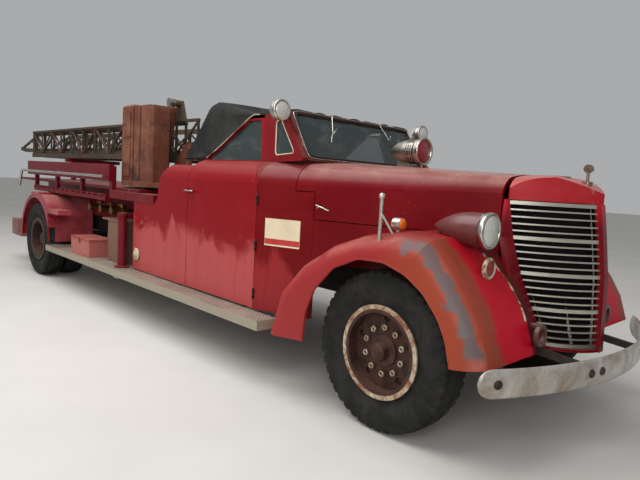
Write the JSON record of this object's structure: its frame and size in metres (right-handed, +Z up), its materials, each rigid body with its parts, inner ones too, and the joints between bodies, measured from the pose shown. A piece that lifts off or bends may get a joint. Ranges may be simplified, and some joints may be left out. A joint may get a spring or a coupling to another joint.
{
  "type": "fire engine",
  "caption": "Long vintage fire engine with a lattice turntable ladder, canvas-topped cab, butterfly hood, barred grille, bowed bumper, side lockers and ground jacks.",
  "frame": {"origin": "middle of the bounding box, on the ground under the tyres", "axes": "+X forward along the vehicle, +Y to the driver's left, +Z up"},
  "size_m": [10.8168, 2.27, 2.2859],
  "materials": {
    "faded_red": "weathered satin",
    "fender_red": "weathered, worn to grey",
    "frame_black": "dusty matt",
    "ladder_steel": "aged, rust tinted",
    "primer_brown": "matt primer",
    "tyre": "worn",
    "rim": "chipped paint over rust",
    "bright": "dulled",
    "bumper_steel": "stained",
    "brass": "tarnished",
    "canvas": "coarse weave",
    "hide": "cracked",
    "glass": "clear, dusty",
    "lamp_glass": "clear lens",
    "iron": "oily"
  },
  "bodies": {
    "vehicle": {"bed": "faded_red", "cab_floor": "frame_black", "cab_rear": "faded_red", "canvas_top": "canvas", "cowl": "faded_red", "engine_block": "iron", "frame": "frame_black", "front_axle": "iron", "front_bumper": "bumper_steel", "front_fenders": "fender_red", "front_fittings": "bright", "grab_rails": "bright", "grille_bars": "bright", "jack_sleeves": "faded_red", "lamp_glasses": "lamp_glass", "lamp_pods": "faded_red", "leaf_springs": "frame_black", "nose_shell": "faded_red", "rear_axle": "iron", "rear_fenders": "faded_red", "running_boards": "frame_black", "seat": "hide", "siren": "bumper_steel", "tailboard": "frame_black", "tool_boxes": "faded_red", "valves": "brass", "windscreen_frame": "faded_red", "windscreen_glass": "glass"},
    "front_wheel_right": {"front_rim_right": "rim", "front_tyre_right": "tyre"},
    "front_wheel_left": {"front_rim_left": "rim", "front_tyre_left": "tyre"},
    "rear_wheels_right": {"rear_rims_right": "rim", "rear_tyres_right": "tyre"},
    "rear_wheels_left": {"rear_rims_left": "rim", "rear_tyres_left": "tyre"},
    "knuckle_right": {"knuckle_right": "iron"},
    "knuckle_left": {"knuckle_left": "iron"},
    "tie_rod": {"tie_rod": "frame_black"},
    "steering_wheel": {"steering_wheel": "frame_black"},
    "door_right": {"door_right": "faded_red", "door_glass_right": "glass"},
    "door_left": {"door_left": "faded_red", "door_glass_left": "glass"},
    "hood_right": {"hood_right": "faded_red"},
    "hood_left": {"hood_left": "faded_red"},
    "chest_lid_right": {"chest_lid_right": "faded_red"},
    "chest_lid_left": {"chest_lid_left": "faded_red"},
    "jack_leg_right": {"jack_leg_right": "bumper_steel"},
    "jack_leg_left": {"jack_leg_left": "bumper_steel"},
    "turntable": {"turntable": "primer_brown", "columns": "primer_brown"},
    "ladder_base": {"ladder_base": "ladder_steel"},
    "ladder_mid": {"ladder_mid": "ladder_steel"},
    "ladder_fly": {"ladder_fly": "ladder_steel"},
    "hoist_barrels": {"hoist_barrels": "primer_brown"},
    "hoist_rods": {"hoist_rods": "bumper_steel"}
  },
  "joints": [
    {"name": "steer_right", "type": "hinge", "parent": "vehicle", "child": "knuckle_right", "pos_m": [4.3515, -0.7, 0.49], "axis": [0, 0, 1], "range_deg": [-28, 28]},
    {"name": "steer_left", "type": "hinge", "parent": "vehicle", "child": "knuckle_left", "pos_m": [4.3515, 0.7, 0.49], "axis": [0, 0, 1], "range_deg": [-28, 28]},
    {"name": "front_wheel_right_spin", "type": "hinge", "parent": "knuckle_right", "child": "front_wheel_right", "pos_m": [4.3515, -0.89, 0.49], "axis": [0, 1, 0], "continuous": true},
    {"name": "front_wheel_left_spin", "type": "hinge", "parent": "knuckle_left", "child": "front_wheel_left", "pos_m": [4.3515, 0.89, 0.49], "axis": [0, 1, 0], "continuous": true},
    {"name": "rear_wheels_right_spin", "type": "hinge", "parent": "vehicle", "child": "rear_wheels_right", "pos_m": [-1.6485, -0.86, 0.49], "axis": [0, 1, 0], "continuous": true},
    {"name": "rear_wheels_left_spin", "type": "hinge", "parent": "vehicle", "child": "rear_wheels_left", "pos_m": [-1.6485, 0.86, 0.49], "axis": [0, 1, 0], "continuous": true},
    {"name": "tie_rod_slide", "type": "slide", "parent": "vehicle", "child": "tie_rod", "axis": [0, -1, 0], "range_m": [-0.09, 0.09]},
    {"name": "steering_wheel_turn", "type": "hinge", "parent": "vehicle", "child": "steering_wheel", "pos_m": [2.7115, 0.4, 1.44], "axis": [-0.8259, 0, 0.5637], "range_deg": [-460, 460]},
    {"name": "door_right_hinge", "type": "hinge", "parent": "vehicle", "child": "door_right", "pos_m": [3.0485, -0.96, 1], "axis": [0, 0, 1], "range_deg": [0, 65]},
    {"name": "door_left_hinge", "type": "hinge", "parent": "vehicle", "child": "door_left", "pos_m": [3.0485, 0.96, 1], "axis": [0, 0, -1], "range_deg": [0, 65]},
    {"name": "hood_right_hinge", "type": "hinge", "parent": "vehicle", "child": "hood_right", "pos_m": [3.3685, -0.013, 1.645], "axis": [-0.9995, 0, 0.0318], "range_deg": [0, 30]},
    {"name": "hood_left_hinge", "type": "hinge", "parent": "vehicle", "child": "hood_left", "pos_m": [3.3685, 0.013, 1.645], "axis": [0.9995, 0, -0.0318], "range_deg": [0, 30]},
    {"name": "chest_lid_right_hinge", "type": "hinge", "parent": "vehicle", "child": "chest_lid_right", "pos_m": [-0.1235, -0.8, 0.657], "axis": [-1, 0, 0], "range_deg": [0, 100]},
    {"name": "chest_lid_left_hinge", "type": "hinge", "parent": "vehicle", "child": "chest_lid_left", "pos_m": [-0.1235, 0.8, 0.657], "axis": [1, 0, 0], "range_deg": [0, 100]},
    {"name": "jack_right_slide", "type": "slide", "parent": "vehicle", "child": "jack_leg_right", "axis": [0, 0, -1], "range_m": [0, 0.33]},
    {"name": "jack_left_slide", "type": "slide", "parent": "vehicle", "child": "jack_leg_left", "axis": [0, 0, -1], "range_m": [0, 0.33]},
    {"name": "turntable_turn", "type": "hinge", "parent": "vehicle", "child": "turntable", "pos_m": [0.7015, 0, 1.34], "axis": [0, 0, 1], "range_deg": [-120, 120]},
    {"name": "ladder_elevation", "type": "hinge", "parent": "turntable", "child": "ladder_base", "pos_m": [1.0615, 0, 1.74], "axis": [0, 1, 0], "range_deg": [0, 75]},
    {"name": "ladder_mid_slide", "type": "slide", "parent": "ladder_base", "child": "ladder_mid", "axis": [-1, 0, 0], "range_m": [0, 4.3]},
    {"name": "ladder_fly_slide", "type": "slide", "parent": "ladder_mid", "child": "ladder_fly", "axis": [-1, 0, 0], "range_m": [0, 4.3]},
    {"name": "hoist_pivot", "type": "hinge", "parent": "turntable", "child": "hoist_barrels", "pos_m": [0.6515, 0, 1.42], "axis": [0, 1, 0], "range_deg": [0, 39.1]},
    {"name": "hoist_extend", "type": "slide", "parent": "hoist_barrels", "child": "hoist_rods", "axis": [0.203, 0, 0.9792], "range_m": [0, 0.24]}
  ],
  "couplings": [
    {"joint": "steer_left", "follows": "steer_right", "ratio": 1},
    {"joint": "tie_rod_slide", "follows": "steer_right", "m_per_rad": 0.165},
    {"joint": "steering_wheel_turn", "follows": "steer_right", "ratio": 16},
    {"joint": "ladder_fly_slide", "follows": "ladder_mid_slide", "ratio": 1},
    {"joint": "hoist_pivot", "follows": "ladder_elevation", "ratio": 0.52},
    {"joint": "hoist_extend", "follows": "ladder_elevation", "m_per_rad": 0.181}
  ]
}
